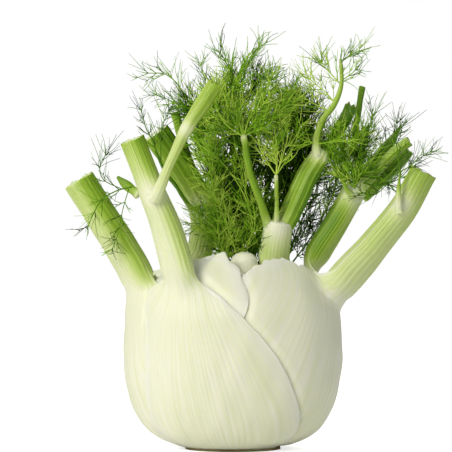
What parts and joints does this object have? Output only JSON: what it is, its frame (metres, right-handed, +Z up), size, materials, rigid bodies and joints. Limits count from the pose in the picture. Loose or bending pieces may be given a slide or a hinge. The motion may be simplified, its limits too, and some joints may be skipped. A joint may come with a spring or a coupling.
{
  "type": "fennel bulb",
  "caption": "Trimmed fresh fennel bulb with overlapping ribbed leaf bases, cut stalks, side stems and feathery fronds, standing on its cut root end.",
  "frame": {"origin": "centre of the flat cut root end the bulb stands on", "axes": "+Z up along the bulb towards its stalks and fronds, -Y the front with the outermost leaf base's middle left of centre, +X the right side"},
  "size_m": [0.169, 0.0767, 0.1851],
  "materials": {
    "white_leaf_base": "moist satin leaf flesh, cream white to pale green",
    "green_stalk": "satin green stalk with fine ribs",
    "frond": "soft feathery green leaf threads",
    "cut_root": "matt cut stem flesh, slightly browned"
  },
  "bodies": {
    "root": {"back_left_leaf": "white_leaf_base", "back_left_slim_stem": "green_stalk", "back_left_stalk_top": "green_stalk", "back_left_stub": "green_stalk", "back_left_twig": "green_stalk", "back_right_low_frond": "frond", "center_back_frond": "frond", "center_front_frond": "frond", "center_leaf": "white_leaf_base", "center_left_frond": "frond", "center_left_stem": "green_stalk", "center_low_frond": "frond", "center_right_cut_stem": "green_stalk", "center_right_strip_stem": "green_stalk", "center_right_tall_stem": "green_stalk", "center_stalk_top": "green_stalk", "center_thin_stem": "green_stalk", "center_top_frond": "frond", "far_left_leaf": "white_leaf_base", "far_left_stub": "green_stalk", "far_right_frond": "frond", "front_left_leaf": "white_leaf_base", "front_left_side_stem": "green_stalk", "heart_bud": "white_leaf_base", "inner_right_back_stem": "green_stalk", "inner_right_frond": "frond", "inner_right_front_stem": "green_stalk", "inner_right_leaf": "white_leaf_base", "inner_right_stalk_top": "green_stalk", "inner_right_thin_stem": "green_stalk", "inner_right_upright_stem": "green_stalk", "left_dark_frond": "frond", "left_side_frond": "frond", "right_frond": "frond", "right_leaf": "white_leaf_base", "right_side_stem": "green_stalk", "stem_base": "cut_root", "top_left_frond": "frond", "top_left_light_frond": "frond", "top_right_frond": "frond"}
  },
  "joints": []
}
